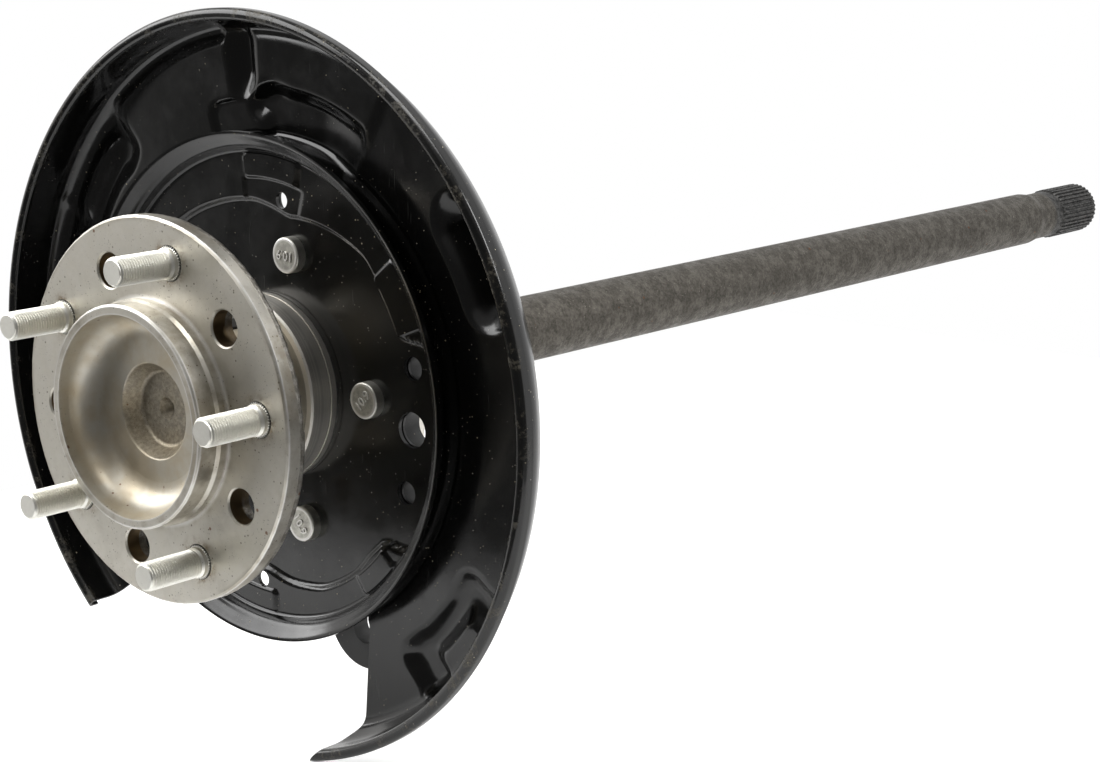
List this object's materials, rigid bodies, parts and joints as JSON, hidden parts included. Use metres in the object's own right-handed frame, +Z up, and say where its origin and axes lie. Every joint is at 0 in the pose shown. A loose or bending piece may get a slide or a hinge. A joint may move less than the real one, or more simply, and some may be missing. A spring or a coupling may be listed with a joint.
{
  "type": "axle shaft",
  "caption": "Rear axle shaft with wheel flange and studs, ball bearing in a bolted case, parking brake backing plate, dust shield and caliper bracket.",
  "frame": {"origin": "centre of the wheel flange's mounting face, on the shaft's axis", "axes": "+Y along the shaft towards the splined end, +Z up, wheel side towards -Y"},
  "size_m": [0.376, 0.9418, 0.3709],
  "materials": {
    "forged_flange": "machined steel with light stains",
    "stud_zinc": "bright zinc plating",
    "bearing_steel": "ground steel",
    "cage_steel": "pressed steel",
    "retainer_steel": "turned steel",
    "tone_steel": "sintered steel",
    "spring_steel": "dark phosphate",
    "case_steel": "turned and ground steel",
    "seal_rubber": "matt rubber",
    "black_coating": "glossy black dip coating",
    "bolt_grey": "dull grey plating"
  },
  "bodies": {
    "housing": {"bearing_case": "case_steel", "bearing_outer_ring": "bearing_steel", "bearing_shield_outboard": "cage_steel", "bearing_shield_inboard": "cage_steel", "case_snap_ring": "spring_steel", "oil_seal_case": "cage_steel", "oil_seal_lip": "seal_rubber", "seal_garter_spring": "spring_steel", "case_o_ring": "seal_rubber", "backing_plate": "black_coating", "dust_shield": "black_coating", "caliper_bracket": "black_coating", "case_bolts": "bolt_grey"},
    "shaft": {"axle_shaft": "forged_flange", "wheel_studs": "stud_zinc", "bearing_inner_ring": "bearing_steel", "bearing_retainer": "retainer_steel", "abs_tone_ring": "tone_steel", "shaft_snap_ring": "spring_steel"},
    "cage": {"bearing_balls": "bearing_steel", "ball_cage_outboard": "cage_steel", "ball_cage_inboard": "cage_steel", "cage_rivets": "cage_steel"}
  },
  "joints": [
    {"name": "shaft_spin", "type": "hinge", "parent": "housing", "child": "shaft", "pos_m": [0, 0.0815, 0], "axis": [0, 1, 0], "continuous": true},
    {"name": "cage_spin", "type": "hinge", "parent": "housing", "child": "cage", "pos_m": [0, 0.0815, 0], "axis": [0, 1, 0], "continuous": true}
  ],
  "couplings": [
    {"joint": "cage_spin", "follows": "shaft_spin", "ratio": 0.4023}
  ]
}
